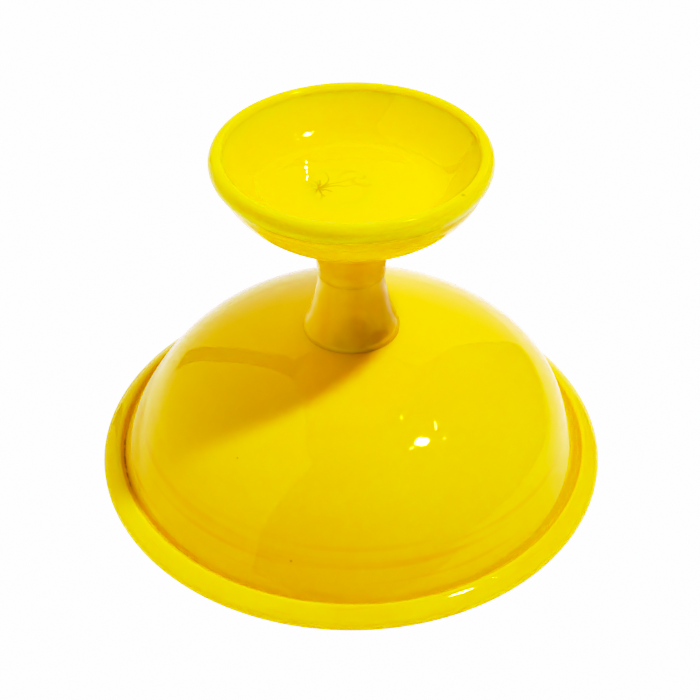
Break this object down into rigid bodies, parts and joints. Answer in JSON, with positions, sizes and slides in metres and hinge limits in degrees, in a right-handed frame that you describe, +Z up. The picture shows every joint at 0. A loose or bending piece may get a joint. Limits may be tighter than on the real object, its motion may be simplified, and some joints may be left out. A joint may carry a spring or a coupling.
{
  "type": "footed glass bowl",
  "caption": "Hand-blown yellow glass bowl on a short stem and dished foot, resting upside down on its folded rim; turned over it holds fruit or sweets.",
  "frame": {"origin": "middle of the bowl's rim, on the plane that the upside-down bowl rests on", "axes": "+Z up the stem towards the foot; X and Y are equivalent, and the scar on the foot is off the axis towards -X"},
  "size_m": [0.25, 0.25, 0.1745],
  "materials": {
    "body_glass": "fire-polished, opaque yellow",
    "lining_glass": "fire-polished, opaque yellow",
    "rim_glass": "fire-polished, lighter lemon yellow",
    "stem_glass": "fire-polished, deeper amber yellow",
    "scar_glass": "rough broken and fire-softened scar"
  },
  "bodies": {
    "root": {"bowl_outer_casing": "body_glass", "bowl_inner_lining": "lining_glass", "bowl_rim_fold": "rim_glass", "stem_flare": "stem_glass", "stem_neck": "stem_glass", "foot_outer_casing": "body_glass", "foot_inner_lining": "lining_glass", "foot_rim_fold": "rim_glass", "pontil_scar": "scar_glass"}
  },
  "joints": []
}
